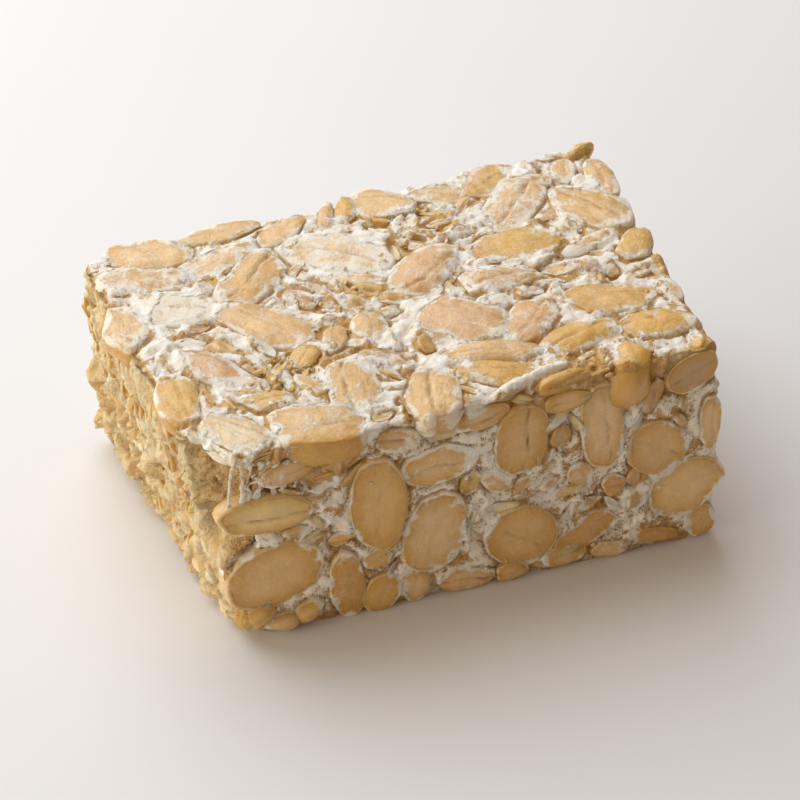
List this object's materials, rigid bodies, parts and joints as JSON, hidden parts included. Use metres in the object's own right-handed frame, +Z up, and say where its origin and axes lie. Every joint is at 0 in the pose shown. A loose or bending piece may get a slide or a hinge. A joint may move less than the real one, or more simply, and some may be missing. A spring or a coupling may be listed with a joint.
{
  "type": "tempeh cake",
  "caption": "Hand-cut rectangular cake of tempeh: cooked soybeans bound by white mould, with swollen beans above, cut beans on the sides and a crumbled end.",
  "frame": {"origin": "middle of the outline on the surface that the cake stands on", "axes": "+X along the cake's length towards its square end, -Y out of the cut front with the bean sections, +Z up out of the beany upper face"},
  "size_m": [0.076, 0.0514, 0.0313],
  "materials": {
    "mould": "dry chalky white mycelium felt, matt, with beige flecks",
    "soybean": "moist cooked soybean flesh, beige to golden, satin, slightly translucent"
  },
  "bodies": {
    "root": {"tempeh_cake": "mould"}
  },
  "joints": []
}
